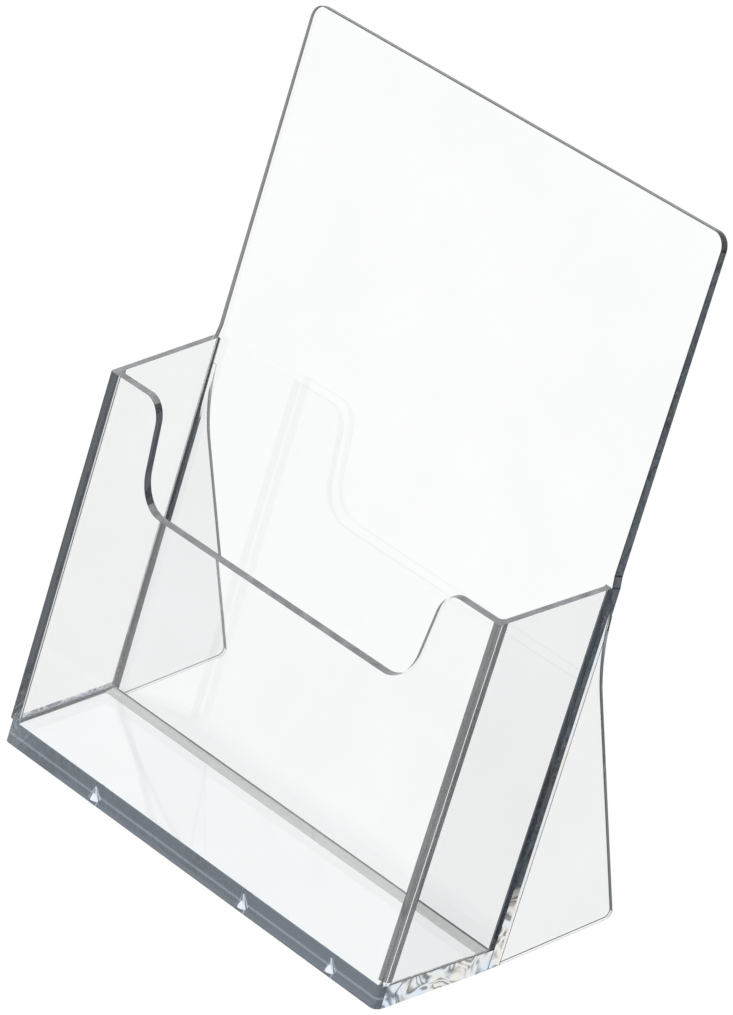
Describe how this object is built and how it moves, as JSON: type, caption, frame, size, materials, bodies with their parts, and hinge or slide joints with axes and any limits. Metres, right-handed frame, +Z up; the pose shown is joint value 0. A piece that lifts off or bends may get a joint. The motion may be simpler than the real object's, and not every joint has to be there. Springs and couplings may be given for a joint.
{
  "type": "leaflet holder",
  "caption": "Clear plastic counter holder: a leaning back panel with a scooped front pocket for A5 leaflets, standing on rear wings.",
  "frame": {"origin": "on the counter, at the centre of the holder's overall width and depth", "axes": "+Z up, -Y towards the reader in front of the pocket, +X to the reader's right"},
  "size_m": [0.162, 0.1052, 0.1816],
  "materials": {
    "clear_panel": "crystal-clear polystyrene, polished both sides",
    "clear_slab": "crystal-clear polystyrene, thick section, polished"
  },
  "bodies": {
    "root": {"back_panel": "clear_panel", "front_panel": "clear_panel", "left_side_wall": "clear_panel", "right_side_wall": "clear_panel", "pocket_floor": "clear_slab", "left_rear_wing": "clear_panel", "right_rear_wing": "clear_panel"}
  },
  "joints": []
}
